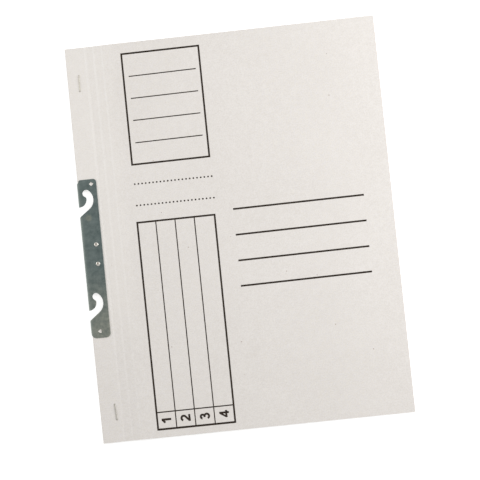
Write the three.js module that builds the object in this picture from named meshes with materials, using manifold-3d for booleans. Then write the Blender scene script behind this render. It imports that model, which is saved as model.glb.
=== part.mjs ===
// Fastener folder for A4 sheets: one creased board sheet folded at the spine,
// a steel strip folded round that spine with two hook slots for binder rings,
// and a two-tongue paper fastener under the front cover.
// Millimetres. The folder lies closed on its back cover, +Z up, +X away from
// the spine and +Y towards the head of the cover.

import * as THREE from "three";
import { mergeVertices } from "three/addons/utils/BufferGeometryUtils.js";
import Module from "manifold-3d";

// Board sheet
const COVER_WIDTH = 240; // outside of the spine fold to the free edge
const COVER_HEIGHT = 305;
const BOARD = 0.45;
const FIRST_CREASE = 17; // from the outside of the spine fold
const CREASE_PITCH = 6.6;
const CREASE_DEPTH = 0.15;
const CREASE_HALF_WIDTH = 0.7;
const BACK_STEP = 8; // run over which the back cover comes down to the table
const FREE_EDGE_GAP = 0.3; // front cover above back cover at the free edge

// Binding strip inside, between the two cover margins
const STRIP_WIDTH = 48;
const STRIP_HEIGHT = 297;
const STRIP_CORNER = 5;

// Hook plate folded round the spine
const PLATE_STEEL = 0.5;
const PLATE_LENGTH = 122.5;
const PLATE_WIDTH = 14.7; // over the fold
const PLATE_CENTRE_Y = -10.9;
const UPPER_CORNER = 2.5;
const LOWER_CORNER = 3.2;
const FOLD_CORNER = 4.2; // lower end of the folded edge
const FOLD_NOTCH = { in: 1.4, down: 3.0, rise: 1.2 }; // its upper end
const NOTCH_CORNER = 1.5; // corner of the flange above the notch

// Hook slots, both alike. Their arcs are placed from the plate's folded edge
// and from the middle of the round end of the slot.
const RING_SPACING = 80;
const SLOT_CENTRE_Y = -0.2; // half way between the two round ends
const LOBE_RADIUS = 2.85;
const LOBE_IN = 6.0; // middle of the round end, from the folded edge
const OUTER_RADIUS = 9.15;
const OUTER_TURN = 52.7; // degrees, where the round end runs into the outer arc
const TONGUE_RADIUS = 6.15;
const TONGUE_OUT = 0.4; // middle of the tongue's arc, beyond the folded edge
const TONGUE_DROP = 4.35;
const MOUTH_SLOPE = 38; // degrees below square to the spine
const NECK_ANGLE = 9; // degrees, where the neck line leaves the tongue's arc
const NECK_TURN = 215; // degrees, where it runs into the round end
const SLOT_RELIEF = 0.25; // board cut back behind the steel

// Punched holes and rivets of the hook plate
const SQUARE_PUNCH = { in: 10.75, fromEnd: 3.8, side: 2.4 }; // stands on a corner
const DART_PUNCH = { in: 6.55, fromEnd: 5.2, width: 2.8, height: 2.8, flat: 1.0 };
const RIVET_IN = 10.2; // from the folded edge
const RIVET_SPACING = 15;
const RIVET_MIDDLE_Y = -7.8;
const RIVET_HEAD_RADIUS = 1.65;
const RIVET_HEAD_HEIGHT = 0.55;
const RIVET_SHANK_RADIUS = 1.1;
const RIVET_BORE_RADIUS = 0.6;
const RIVET_BORE_DEPTH = 1.5;
const RIVET_TAIL_RADIUS = 1.7;
const RIVET_TAIL_LIFT = 0.06; // set end above the table
const RIVET_CLEARANCE = 0.1;
const TAIL_CLEARANCE = 0.45;

// Wire staples at the two ends of the margin
const STAPLE_LENGTH = 12.4;
const STAPLE_WIRE_WIDTH = 0.65;
const STAPLE_BEND = 0.55;
const STAPLE_LEG_GAP = 2.2; // between the clinched points
const STAPLE_CLEARANCE = 0.12;
const STAPLES = [
  { name: "staple_top", x: 8.95, y: STRIP_HEIGHT / 2 - 23.55, turn: -1.5 },
  { name: "staple_bottom", x: 11.9, y: -STRIP_HEIGHT / 2 + 18.8, turn: 3.1 },
];

// Paper fastener
const PAPER_HOLE_LINE = 36; // from the outside of the spine fold
const TONGUE_SPACING = 80;
const BASE_STEEL = 0.25;
const BASE_WIDTH = 10;
const BASE_LENGTH = 77;
const BASE_CORNER = 2;
const TONGUE_WIDTH = 6;
const TONGUE_TIP_GAP = 5;
const TONGUE_BEND = 0.6;
const TONGUE_SEAT = 0.05; // tongue above the bar
const SLIT_CLEARANCE = 0.3;
const BAR_STEEL = 0.35;
const BAR_WIDTH = 12;
const BAR_LENGTH = 104;
const BAR_CORNER = 4.5;
const BAR_EDGE = 1.0; // height of the rolled edges
const BAR_LIP = 0.9;
const BAR_BEND = 0.45;
const BAR_HOLE_WIDTH = 7.4;
const BAR_HOLE_LENGTH = 3;
const COVER_OVER_BAR = 0.3;

// Heights in the stack, from the table up
const MARGIN_LOW = PLATE_STEEL;
const MARGIN_INNER_LOW = MARGIN_LOW + BOARD;
const MARGIN_INNER_HIGH = MARGIN_INNER_LOW + BOARD; // holds the binding strip
const MARGIN_TOP = MARGIN_INNER_HIGH + BOARD;
const PLATE_TOP = MARGIN_TOP + PLATE_STEEL;
const BASE_TOP = BOARD + BASE_STEEL;
const STRIP_TOP = BASE_TOP + BOARD;
const TONGUE_TOP = STRIP_TOP + BAR_STEEL + TONGUE_SEAT + BASE_STEEL;
const BAR_TOP = STRIP_TOP + BAR_EDGE;

// Front cover heights at the creases and at the free edge, upper face
const LAST_CREASE = FIRST_CREASE + 2 * CREASE_PITCH;
const CREST = BAR_TOP + COVER_OVER_BAR + BOARD + 0.05;
const FREE_EDGE_TOP = BOARD + FREE_EDGE_GAP + BOARD;
const STRIP_RISE = (CREST - MARGIN_TOP) / 2;

// The part's own origin is at the middle of its foot.
const SPINE_X = -(COVER_WIDTH - PLATE_STEEL) / 2;
const FOLD_X = -PLATE_STEEL; // outside of the folded plate, from the spine
const OVERCUT = 3; // how far cutters pass through what they cut
const FOLD_STEPS = 10; // facets round the spine fold, alike in board and steel

const wasm = await Module();
wasm.setup();

// Colours and finishes
const BOARD_FINISH = { color: 0xe2dcd5, roughness: 0.92, metalness: 0 };
const STRIP_FINISH = { color: 0xcfc4b2, roughness: 0.95, metalness: 0 };
const PLATE_FINISH = { color: 0x6a726e, roughness: 0.42, metalness: 0.85 };
const RIVET_FINISH = { color: 0xd8d8d2, roughness: 0.3, metalness: 0.9 };
const WIRE_FINISH = { color: 0xb9bcbc, roughness: 0.35, metalness: 0.9 };
const FASTENER_FINISH = { color: 0xc3c6c8, roughness: 0.33, metalness: 0.9 };

const folder = new THREE.Group();
folder.position.x = SPINE_X;

function degrees(angle) {
  return THREE.MathUtils.degToRad(angle);
}

// Closed geometry to a solid that can be joined and cut
function toSolid(geometry) {
  const bare = geometry.clone();
  bare.deleteAttribute("normal");
  bare.deleteAttribute("uv");
  const merged = mergeVertices(bare, 1e-4);
  return new wasm.Manifold(
    new wasm.Mesh({
      numProp: 3,
      vertProperties: merged.attributes.position.array,
      triVerts: new Uint32Array(merged.index.array),
    }),
  );
}

function toMesh(name, solid, finish) {
  const cut = solid.getMesh();
  const geometry = new THREE.BufferGeometry();
  geometry.setAttribute("position", new THREE.BufferAttribute(cut.vertProperties, 3));
  geometry.setIndex(new THREE.BufferAttribute(cut.triVerts, 1));
  const flat = geometry.toNonIndexed();
  flat.computeVertexNormals();
  const mesh = new THREE.Mesh(flat, new THREE.MeshStandardMaterial(finish));
  mesh.name = name;
  folder.add(mesh);
  return mesh;
}

// An outline drawn in plan, raised from one height to another
function raised(shape, low, high, arcSteps = 10) {
  const geometry = new THREE.ExtrudeGeometry(shape, {
    depth: high - low,
    bevelEnabled: false,
    curveSegments: arcSteps,
  });
  return toSolid(geometry.translate(0, 0, low));
}

// A section drawn across the spine (x, z), run along it
function runAlongSpine(shape, length, middleY = 0, arcSteps = 8) {
  const geometry = new THREE.ExtrudeGeometry(shape, {
    depth: length,
    bevelEnabled: false,
    curveSegments: arcSteps,
  });
  geometry.rotateX(Math.PI / 2);
  return toSolid(geometry.translate(0, middleY + length / 2, 0));
}

// A section drawn along the spine (y, z), run across it
function runAcross(shape, width, arcSteps = 5) {
  const geometry = new THREE.ExtrudeGeometry(shape, {
    depth: width,
    bevelEnabled: false,
    curveSegments: arcSteps,
  });
  geometry.translate(0, 0, -width / 2);
  const turned = new THREE.Matrix4().makeBasis(
    new THREE.Vector3(0, 1, 0),
    new THREE.Vector3(0, 0, 1),
    new THREE.Vector3(1, 0, 0),
  );
  return toSolid(geometry.applyMatrix4(turned));
}

function polygon(points) {
  return new THREE.Shape(points.map(([x, y]) => new THREE.Vector2(x, y)));
}

// Rectangle in plan with its own corner radius at the left and right edges
function roundedPlan(left, right, low, high, leftRadius, rightRadius) {
  const shape = new THREE.Shape();
  shape.moveTo(left + leftRadius, low);
  shape.lineTo(right - rightRadius, low);
  shape.absarc(right - rightRadius, low + rightRadius, rightRadius, degrees(-90), 0);
  shape.lineTo(right, high - rightRadius);
  shape.absarc(right - rightRadius, high - rightRadius, rightRadius, 0, degrees(90));
  shape.lineTo(left + leftRadius, high);
  shape.absarc(left + leftRadius, high - leftRadius, leftRadius, degrees(90), degrees(180));
  shape.lineTo(left, low + leftRadius);
  shape.absarc(left + leftRadius, low + leftRadius, leftRadius, degrees(180), degrees(270));
  return shape;
}

function box(width, length, low, high, x, y, turn = 0) {
  const geometry = new THREE.BoxGeometry(width, length, high - low);
  geometry.rotateZ(degrees(turn));
  return toSolid(geometry.translate(x, y, (low + high) / 2));
}

function cylinder(radius, low, high, x, y, sides = 24) {
  const geometry = new THREE.CylinderGeometry(radius, radius, high - low, sides);
  geometry.rotateX(Math.PI / 2);
  return toSolid(geometry.translate(x, y, (low + high) / 2));
}

// Hook slot: a round end near the spine, an outer arc that swings out and back,
// and a sloping mouth open at the folded edge. What stays between the round end
// and the mouth is a pointed tongue that keeps the ring in.
function hookSlot(lobeY, relief) {
  const outerX = FOLD_X + LOBE_IN - (OUTER_RADIUS - LOBE_RADIUS) * Math.cos(degrees(OUTER_TURN));
  const outerY = lobeY - (OUTER_RADIUS - LOBE_RADIUS) * Math.sin(degrees(OUTER_TURN));
  const outerRadius = OUTER_RADIUS + relief;
  const tongueX = FOLD_X - TONGUE_OUT;
  const tongueY = lobeY - TONGUE_DROP;
  const tongueRadius = TONGUE_RADIUS - relief;
  const mouthTurn = MOUTH_SLOPE - 90;
  const slopeStartX = outerX + outerRadius * Math.cos(degrees(mouthTurn));
  const slopeStartY = outerY + outerRadius * Math.sin(degrees(mouthTurn));
  const mouthY = slopeStartY - (slopeStartX - FOLD_X) * Math.tan(degrees(MOUTH_SLOPE));
  const clearOfFold = FOLD_X - OVERCUT;
  const shape = new THREE.Shape();
  shape.moveTo(clearOfFold, tongueY - tongueRadius);
  shape.lineTo(clearOfFold, mouthY);
  shape.lineTo(FOLD_X, mouthY);
  shape.lineTo(slopeStartX, slopeStartY);
  shape.absarc(outerX, outerY, outerRadius, degrees(mouthTurn), degrees(OUTER_TURN));
  shape.absarc(
    FOLD_X + LOBE_IN,
    lobeY,
    LOBE_RADIUS + relief,
    degrees(OUTER_TURN),
    degrees(NECK_TURN),
  );
  shape.absarc(tongueX, tongueY, tongueRadius, degrees(NECK_ANGLE), degrees(-90), true);
  return shape;
}

function cutHookSlots(solid, relief) {
  let cut = solid;
  for (const side of [1, -1]) {
    const lobeY = SLOT_CENTRE_Y + (side * RING_SPACING) / 2;
    const slot = raised(hookSlot(lobeY, relief), -OVERCUT, PLATE_TOP + OVERCUT, 14);
    cut = cut.subtract(slot);
  }
  return cut;
}

const rivets = [
  { name: "rivet_upper", y: RIVET_MIDDLE_Y + RIVET_SPACING / 2 },
  { name: "rivet_lower", y: RIVET_MIDDLE_Y - RIVET_SPACING / 2 },
];
const rivetX = FOLD_X + RIVET_IN;

function cutRivetHoles(solid, radius, low, high) {
  let cut = solid;
  for (const { y } of rivets) {
    cut = cut.subtract(cylinder(radius, low, high, rivetX, y));
  }
  return cut;
}

// Both legs of a staple pass through one hole each.
function cutStapleHoles(solid) {
  let cut = solid;
  const legReach = (STAPLE_LENGTH - PLATE_STEEL) / 2;
  for (const { x, y, turn } of STAPLES) {
    for (const side of [1, -1]) {
      const along = side * legReach;
      const holeX = x - along * Math.sin(degrees(turn));
      const holeY = y + along * Math.cos(degrees(turn));
      const hole = box(
        STAPLE_WIRE_WIDTH + 2 * STAPLE_CLEARANCE,
        PLATE_STEEL + 4 * STAPLE_CLEARANCE,
        -OVERCUT,
        PLATE_TOP + OVERCUT,
        holeX,
        holeY,
        turn,
      );
      cut = cut.subtract(hole);
    }
  }
  return cut;
}

// A strip bent round into a flat loop that stays open between its two ends
function bentLoop(halfLength, low, high, thickness, gap, bend, openOnTop) {
  const inner = Math.max(bend - thickness, 0.02);
  const at = (z) => (openOnTop ? low + high - z : z);
  const spin = openOnTop ? -1 : 1;
  const shape = new THREE.Shape();
  const corner = (y, z, radius, from, to, clockwise) => {
    const flips = openOnTop ? !clockwise : clockwise;
    shape.absarc(y, at(z), radius, degrees(spin * from), degrees(spin * to), flips);
  };
  shape.moveTo(gap / 2, at(low));
  corner(halfLength - bend, low + bend, bend, -90, 0, false);
  corner(halfLength - bend, high - bend, bend, 0, 90, false);
  corner(-halfLength + bend, high - bend, bend, 90, 180, false);
  corner(-halfLength + bend, low + bend, bend, 180, 270, false);
  shape.lineTo(-gap / 2, at(low));
  shape.lineTo(-gap / 2, at(low + thickness));
  corner(-halfLength + bend, low + bend, inner, 270, 180, true);
  corner(-halfLength + bend, high - bend, inner, 180, 90, true);
  corner(halfLength - bend, high - bend, inner, 90, 0, true);
  corner(halfLength - bend, low + bend, inner, 0, -90, true);
  shape.lineTo(gap / 2, at(low + thickness));
  return shape;
}

// Spine margin: the part of the board sheet that is folded round the spine,
// from the first crease of the back to the first crease of the front
function makeSpineMargin() {
  const outer = (MARGIN_TOP - MARGIN_LOW) / 2;
  const inner = outer - BOARD;
  const middle = (MARGIN_TOP + MARGIN_LOW) / 2;
  const section = new THREE.Shape();
  section.moveTo(FIRST_CREASE, MARGIN_LOW);
  section.lineTo(FIRST_CREASE, MARGIN_INNER_LOW);
  section.lineTo(outer, MARGIN_INNER_LOW);
  section.absarc(outer, middle, inner, degrees(270), degrees(90), true);
  section.lineTo(FIRST_CREASE, MARGIN_INNER_HIGH);
  section.lineTo(FIRST_CREASE, MARGIN_TOP - CREASE_DEPTH);
  section.lineTo(FIRST_CREASE - CREASE_HALF_WIDTH, MARGIN_TOP);
  section.lineTo(outer, MARGIN_TOP);
  section.absarc(outer, middle, outer, degrees(90), degrees(270), false);
  let sheet = runAlongSpine(section, COVER_HEIGHT, 0, FOLD_STEPS);
  sheet = cutHookSlots(sheet, SLOT_RELIEF);
  sheet = cutStapleHoles(sheet);
  sheet = cutRivetHoles(sheet, RIVET_SHANK_RADIUS + RIVET_CLEARANCE, -OVERCUT, PLATE_TOP + OVERCUT);
  toMesh("spine_margin", sheet, BOARD_FINISH);
}

// Back cover: steps down off the steel and lies flat on the table
function makeBackCover() {
  const foot = FIRST_CREASE + BACK_STEP;
  const section = polygon([
    [FIRST_CREASE, MARGIN_LOW],
    [foot, 0],
    [COVER_WIDTH, 0],
    [COVER_WIDTH, BOARD],
    [foot, BOARD],
    [FIRST_CREASE, MARGIN_INNER_LOW],
  ]);
  toMesh("back_cover", runAlongSpine(section, COVER_HEIGHT), BOARD_FINISH);
}

// One flat piece of the front cover between two creases. A crease is a pressed
// groove in its upper face, half of it on each side of the folding line.
function makeCoverPiece(name, left, right, leftTop, rightTop, creaseRight) {
  const slope = (rightTop - leftTop) / (right - left);
  const topAt = (x) => leftTop + slope * (x - left);
  const points = [
    [left, leftTop - BOARD],
    [right, rightTop - BOARD],
  ];
  if (creaseRight) {
    points.push([right, rightTop - CREASE_DEPTH]);
    points.push([right - CREASE_HALF_WIDTH, topAt(right - CREASE_HALF_WIDTH)]);
  } else {
    points.push([right, rightTop]);
  }
  points.push([left + CREASE_HALF_WIDTH, topAt(left + CREASE_HALF_WIDTH)]);
  points.push([left, leftTop - CREASE_DEPTH]);
  toMesh(name, runAlongSpine(polygon(points), COVER_HEIGHT), BOARD_FINISH);
}

function makeFrontCover() {
  const second = FIRST_CREASE + CREASE_PITCH;
  const secondTop = MARGIN_TOP + STRIP_RISE;
  makeCoverPiece("cover_strip_1", FIRST_CREASE, second, MARGIN_TOP, secondTop, true);
  makeCoverPiece("cover_strip_2", second, LAST_CREASE, secondTop, CREST, true);
  makeCoverPiece("cover_panel", LAST_CREASE, COVER_WIDTH, CREST, FREE_EDGE_TOP, false);
}

// Binding strip: second board layer in the margin, which carries the fastener
function makeBindingStrip() {
  const start = (MARGIN_TOP - MARGIN_LOW) / 2 + 0.1;
  const foot = FIRST_CREASE + BACK_STEP;
  const section = polygon([
    [start, MARGIN_INNER_LOW],
    [FIRST_CREASE, MARGIN_INNER_LOW],
    [foot, BASE_TOP],
    [STRIP_WIDTH, BASE_TOP],
    [STRIP_WIDTH, STRIP_TOP],
    [foot, STRIP_TOP],
    [FIRST_CREASE, MARGIN_INNER_HIGH],
    [start, MARGIN_INNER_HIGH],
  ]);
  const half = STRIP_HEIGHT / 2;
  const plan = roundedPlan(start, STRIP_WIDTH, -half, half, 0.5, STRIP_CORNER);
  let strip = runAlongSpine(section, STRIP_HEIGHT);
  strip = strip.intersect(raised(plan, -OVERCUT, PLATE_TOP));
  strip = cutHookSlots(strip, SLOT_RELIEF);
  strip = cutStapleHoles(strip);
  strip = cutRivetHoles(strip, RIVET_SHANK_RADIUS + RIVET_CLEARANCE, 0, PLATE_TOP);
  for (const side of [1, -1]) {
    const slit = box(
      TONGUE_WIDTH + 2 * SLIT_CLEARANCE,
      BASE_STEEL + 2 * SLIT_CLEARANCE,
      0,
      PLATE_TOP,
      PAPER_HOLE_LINE,
      (side * (TONGUE_SPACING - BASE_STEEL)) / 2,
    );
    strip = strip.subtract(slit);
  }
  toMesh("binding_strip", strip, STRIP_FINISH);
}

// Outline of the plate in plan. Its folded edge stops short of the upper end,
// where the strip is notched so that it folds without tearing.
function platePlan(edge, low, high) {
  const flange = FOLD_X + FOLD_NOTCH.in;
  const notchLow = high - FOLD_NOTCH.down;
  const shape = new THREE.Shape();
  shape.moveTo(FOLD_X + FOLD_CORNER, low);
  shape.absarc(edge - LOWER_CORNER, low + LOWER_CORNER, LOWER_CORNER, degrees(-90), 0);
  shape.absarc(edge - UPPER_CORNER, high - UPPER_CORNER, UPPER_CORNER, 0, degrees(90));
  shape.absarc(
    flange + NOTCH_CORNER,
    high - NOTCH_CORNER,
    NOTCH_CORNER,
    degrees(90),
    degrees(180),
  );
  shape.lineTo(flange, notchLow + FOLD_NOTCH.rise);
  shape.lineTo(FOLD_X, notchLow);
  shape.absarc(FOLD_X + FOLD_CORNER, low + FOLD_CORNER, FOLD_CORNER, degrees(180), degrees(270));
  return shape;
}

// Square hole near the upper end and a dart-shaped one, pointing at the spine,
// near the lower end, both in the front flange only
function cutPunches(solid, low, high) {
  const squareX = FOLD_X + SQUARE_PUNCH.in;
  const squareY = high - SQUARE_PUNCH.fromEnd;
  const side = SQUARE_PUNCH.side;
  const square = box(side, side, PLATE_TOP / 2, PLATE_TOP + OVERCUT, squareX, squareY, 45);
  const point = FOLD_X + DART_PUNCH.in - DART_PUNCH.width / 2;
  const back = point + DART_PUNCH.width;
  const dartY = low + DART_PUNCH.fromEnd;
  const half = DART_PUNCH.height / 2;
  const dart = polygon([
    [point, dartY],
    [back - DART_PUNCH.flat, dartY - half],
    [back, dartY - half],
    [back, dartY + half],
    [back - DART_PUNCH.flat, dartY + half],
  ]);
  return solid.subtract(square).subtract(raised(dart, PLATE_TOP / 2, PLATE_TOP + OVERCUT));
}

// Hook plate: one steel strip folded round the spine over both cover margins
function makeHookPlate() {
  const middle = PLATE_TOP / 2;
  const outer = PLATE_TOP / 2;
  const inner = outer - PLATE_STEEL;
  const foldMiddle = FOLD_X + outer;
  const edge = FOLD_X + PLATE_WIDTH;
  const section = new THREE.Shape();
  section.moveTo(edge, 0);
  section.lineTo(edge, PLATE_STEEL);
  section.lineTo(foldMiddle, PLATE_STEEL);
  section.absarc(foldMiddle, middle, inner, degrees(270), degrees(90), true);
  section.lineTo(edge, MARGIN_TOP);
  section.lineTo(edge, PLATE_TOP);
  section.lineTo(foldMiddle, PLATE_TOP);
  section.absarc(foldMiddle, middle, outer, degrees(90), degrees(270), false);
  const low = PLATE_CENTRE_Y - PLATE_LENGTH / 2;
  const high = PLATE_CENTRE_Y + PLATE_LENGTH / 2;
  const plan = platePlan(edge, low, high);
  let plate = runAlongSpine(section, PLATE_LENGTH, PLATE_CENTRE_Y, FOLD_STEPS);
  plate = plate.intersect(raised(plan, -OVERCUT, PLATE_TOP + OVERCUT));
  plate = cutHookSlots(plate, 0);
  plate = cutPunches(plate, low, high);
  const shankHole = RIVET_SHANK_RADIUS + RIVET_CLEARANCE;
  plate = cutRivetHoles(plate, shankHole, middle, PLATE_TOP + OVERCUT);
  plate = cutRivetHoles(plate, RIVET_TAIL_RADIUS + TAIL_CLEARANCE, -OVERCUT, middle);
  toMesh("hook_plate", plate, PLATE_FINISH);
}

// Rivets: a rolled head on the plate, a blind bore, and a set end that pulls
// against the back of the board inside a clearance hole of the rear flange
function makeRivets() {
  const headTop = PLATE_TOP + RIVET_HEAD_HEIGHT;
  const headRound = 0.3;
  const profile = [
    [0, RIVET_TAIL_LIFT],
    [RIVET_TAIL_RADIUS - 0.25, RIVET_TAIL_LIFT],
    [RIVET_TAIL_RADIUS, RIVET_TAIL_LIFT + 0.22],
    [RIVET_TAIL_RADIUS, MARGIN_LOW],
    [RIVET_SHANK_RADIUS, MARGIN_LOW],
    [RIVET_SHANK_RADIUS, PLATE_TOP],
    [RIVET_HEAD_RADIUS, PLATE_TOP],
    [RIVET_HEAD_RADIUS, headTop - headRound],
    [RIVET_HEAD_RADIUS - headRound / 2, headTop - headRound / 4],
    [RIVET_HEAD_RADIUS - headRound * 1.5, headTop],
    [RIVET_BORE_RADIUS + headRound, headTop],
    [RIVET_BORE_RADIUS, headTop - headRound],
    [RIVET_BORE_RADIUS, headTop - RIVET_BORE_DEPTH],
    [0, headTop - RIVET_BORE_DEPTH],
  ].map(([r, z]) => new THREE.Vector2(r, z));
  for (const { name, y } of rivets) {
    const geometry = new THREE.LatheGeometry(profile, 24);
    geometry.rotateX(Math.PI / 2);
    toMesh(name, toSolid(geometry.translate(rivetX, y, 0)), RIVET_FINISH);
  }
}

// Staples: the crown lies on the front margin, the points are clinched under
// the back margin in the room that the steel's thickness leaves there
function makeStaples() {
  const shape = bentLoop(
    STAPLE_LENGTH / 2,
    0,
    PLATE_TOP,
    PLATE_STEEL,
    STAPLE_LEG_GAP,
    STAPLE_BEND,
    false,
  );
  for (const { name, x, y, turn } of STAPLES) {
    const wire = toMesh(name, runAcross(shape, STAPLE_WIRE_WIDTH), WIRE_FINISH);
    wire.rotation.z = degrees(turn);
    wire.position.set(x, y, 0);
  }
}

// Fastener base: a steel strip under the binding strip whose two tongues come
// up through slits, pass the bar and lie folded towards each other
function makeFastenerBase() {
  const loop = bentLoop(
    TONGUE_SPACING / 2,
    BOARD,
    TONGUE_TOP,
    BASE_STEEL,
    TONGUE_TIP_GAP,
    TONGUE_BEND,
    true,
  );
  const tip = TONGUE_WIDTH / 2;
  const tipMiddle = TONGUE_TIP_GAP / 2 + tip;
  let tipCutter = box(TONGUE_WIDTH + 1, 2 * tipMiddle, STRIP_TOP, TONGUE_TOP + 1, 0, 0);
  for (const side of [1, -1]) {
    tipCutter = tipCutter.subtract(cylinder(tip, BOARD, TONGUE_TOP + 2, 0, side * tipMiddle, 32));
  }
  const plan = roundedPlan(
    -BASE_WIDTH / 2,
    BASE_WIDTH / 2,
    -BASE_LENGTH / 2,
    BASE_LENGTH / 2,
    BASE_CORNER,
    BASE_CORNER,
  );
  const base = runAcross(loop, TONGUE_WIDTH)
    .subtract(tipCutter)
    .add(raised(plan, BOARD, BASE_TOP, 5));
  toMesh("fastener_base", base.translate([PAPER_HOLE_LINE, 0, 0]), FASTENER_FINISH);
}

// Cover bar: a shallow steel channel with rolled edges that presses the papers
// down; the tongues come through its two holes and lie in the channel
function makeCoverBar() {
  const half = BAR_WIDTH / 2;
  const inner = BAR_BEND - BAR_STEEL;
  const section = new THREE.Shape();
  section.moveTo(-half + BAR_BEND, STRIP_TOP);
  section.absarc(half - BAR_BEND, STRIP_TOP + BAR_BEND, BAR_BEND, degrees(-90), 0);
  section.absarc(half - BAR_BEND, BAR_TOP - BAR_BEND, BAR_BEND, 0, degrees(90));
  section.lineTo(half - BAR_LIP, BAR_TOP);
  section.lineTo(half - BAR_LIP, BAR_TOP - BAR_STEEL);
  section.absarc(half - BAR_BEND, BAR_TOP - BAR_BEND, inner, degrees(90), 0, true);
  section.absarc(half - BAR_BEND, STRIP_TOP + BAR_BEND, inner, 0, degrees(-90), true);
  section.absarc(-half + BAR_BEND, STRIP_TOP + BAR_BEND, inner, degrees(-90), degrees(-180), true);
  section.absarc(-half + BAR_BEND, BAR_TOP - BAR_BEND, inner, degrees(180), degrees(90), true);
  section.lineTo(-half + BAR_LIP, BAR_TOP - BAR_STEEL);
  section.lineTo(-half + BAR_LIP, BAR_TOP);
  section.absarc(-half + BAR_BEND, BAR_TOP - BAR_BEND, BAR_BEND, degrees(90), degrees(180));
  section.absarc(-half + BAR_BEND, STRIP_TOP + BAR_BEND, BAR_BEND, degrees(180), degrees(270));
  const plan = roundedPlan(
    -half,
    half,
    -BAR_LENGTH / 2,
    BAR_LENGTH / 2,
    BAR_CORNER,
    BAR_CORNER,
  );
  let bar = runAlongSpine(section, BAR_LENGTH, 0, 4);
  bar = bar.intersect(raised(plan, 0, BAR_TOP + OVERCUT, 8));
  const holeHalf = BAR_HOLE_WIDTH / 2;
  for (const side of [1, -1]) {
    const y = (side * (TONGUE_SPACING - BASE_STEEL)) / 2;
    const low = y - BAR_HOLE_LENGTH / 2;
    const high = y + BAR_HOLE_LENGTH / 2;
    const hole = roundedPlan(-holeHalf, holeHalf, low, high, 0.6, 0.6);
    bar = bar.subtract(raised(hole, 0, BAR_TOP + OVERCUT, 4));
  }
  toMesh("cover_bar", bar.translate([PAPER_HOLE_LINE, 0, 0]), FASTENER_FINISH);
}

makeSpineMargin();
makeBackCover();
makeFrontCover();
makeBindingStrip();
makeHookPlate();
makeRivets();
makeStaples();
makeFastenerBase();
makeCoverBar();

export default folder;
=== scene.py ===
import math

import bpy
from mathutils import Matrix, Vector


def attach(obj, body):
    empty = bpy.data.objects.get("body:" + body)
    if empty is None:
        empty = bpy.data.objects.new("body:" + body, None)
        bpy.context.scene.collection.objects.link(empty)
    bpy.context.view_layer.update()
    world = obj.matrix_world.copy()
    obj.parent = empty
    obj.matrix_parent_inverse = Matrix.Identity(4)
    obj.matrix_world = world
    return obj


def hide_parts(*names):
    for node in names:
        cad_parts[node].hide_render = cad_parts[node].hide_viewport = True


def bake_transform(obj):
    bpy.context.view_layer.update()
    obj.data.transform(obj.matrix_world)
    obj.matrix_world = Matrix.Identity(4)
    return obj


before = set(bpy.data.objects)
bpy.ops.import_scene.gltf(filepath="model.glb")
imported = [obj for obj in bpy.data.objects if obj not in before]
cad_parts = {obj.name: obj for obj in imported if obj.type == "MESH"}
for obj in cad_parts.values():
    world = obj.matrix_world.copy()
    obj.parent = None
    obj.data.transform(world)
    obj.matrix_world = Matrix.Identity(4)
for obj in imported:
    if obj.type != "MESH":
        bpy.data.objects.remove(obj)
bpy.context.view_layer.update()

# Cover board
# One sheet of solid grey-white board, 0.45 mm thick, folded round the spine.
# Three creases are pressed into the front cover, and the margin is cut out
# for the two hook slots, the rivets and the staples.
MM = 0.001
SPINE_X = -119.75  # outside of the spine fold in the frame, mm
BOARD = 0.45  # thickness of the sheet, mm
COVER_WIDTH = 240
COVER_HEIGHT = 305
CREASES = (17, 23.6, 30.2)  # places from the spine, mm
GROOVE_DEPTH = 0.05
GROOVE_REACH = 1.5
MARGIN_LOW = 0.5
MARGIN_TOP = 1.85
CREST = 2.95
FREE_EDGE_TOP = 1.2
BACK_FOOT = 25
BACK_SEAM = 13.2


def set_mode(mode):
    bpy.ops.object.mode_set(mode=mode)


def alone():
    active = bpy.context.view_layer.objects.active
    if active and active.mode != "OBJECT":
        set_mode("OBJECT")
    bpy.ops.object.select_all(action="DESELECT")


def make_active(piece):
    alone()
    piece.select_set(True)
    bpy.context.view_layer.objects.active = piece


def pick_edges(piece, wanted):
    """In edit mode with only the wanted edges selected; wanted gets the two ends
    of an edge in mm"""
    make_active(piece)
    set_mode("EDIT")
    bpy.ops.mesh.select_mode(type="EDGE")
    bpy.ops.mesh.select_all(action="DESELECT")
    set_mode("OBJECT")
    points = [vertex.co / MM for vertex in piece.data.vertices]
    for edge in piece.data.edges:
        edge.select = wanted(*(points[end] for end in edge.vertices))
    set_mode("EDIT")


def apply_modifier(piece, kind, **settings):
    """Gives a piece a modifier with its settings and applies it"""
    made = piece.modifiers.new(kind.lower(), kind)
    for name, value in settings.items():
        setattr(made, name, value)
    make_active(piece)
    bpy.ops.object.modifier_apply(modifier=made.name)


def in_frame(plane, a, b, depth):
    """A drawn point, mm: plane says which way the drawing lies"""
    if plane == "XZ":
        return Vector((SPINE_X + a, depth, b)) * MM
    if plane == "YZ":
        return Vector((SPINE_X + depth, a, b)) * MM
    return Vector((SPINE_X + a, b, depth)) * MM


def select_points():
    bpy.ops.mesh.select_all(action="SELECT")


def one_vertex(name, place):
    """A piece of one vertex, in edit mode, from which an outline is drawn"""
    alone()
    bpy.ops.mesh.primitive_plane_add(size=1)
    piece = bpy.context.object
    piece.name = name
    set_mode("EDIT")
    bpy.ops.mesh.select_mode(type="VERT")
    select_points()
    bpy.ops.mesh.merge(type="CENTER")
    bpy.ops.transform.translate(value=place)
    return piece


def extrude_by(step):
    bpy.ops.mesh.extrude_region_move(TRANSFORM_OT_translate={"value": step})


def weld():
    """Merges points that lie on each other, and selects all"""
    select_points()
    bpy.ops.mesh.remove_doubles(threshold=0.002 * MM)
    select_points()


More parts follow.
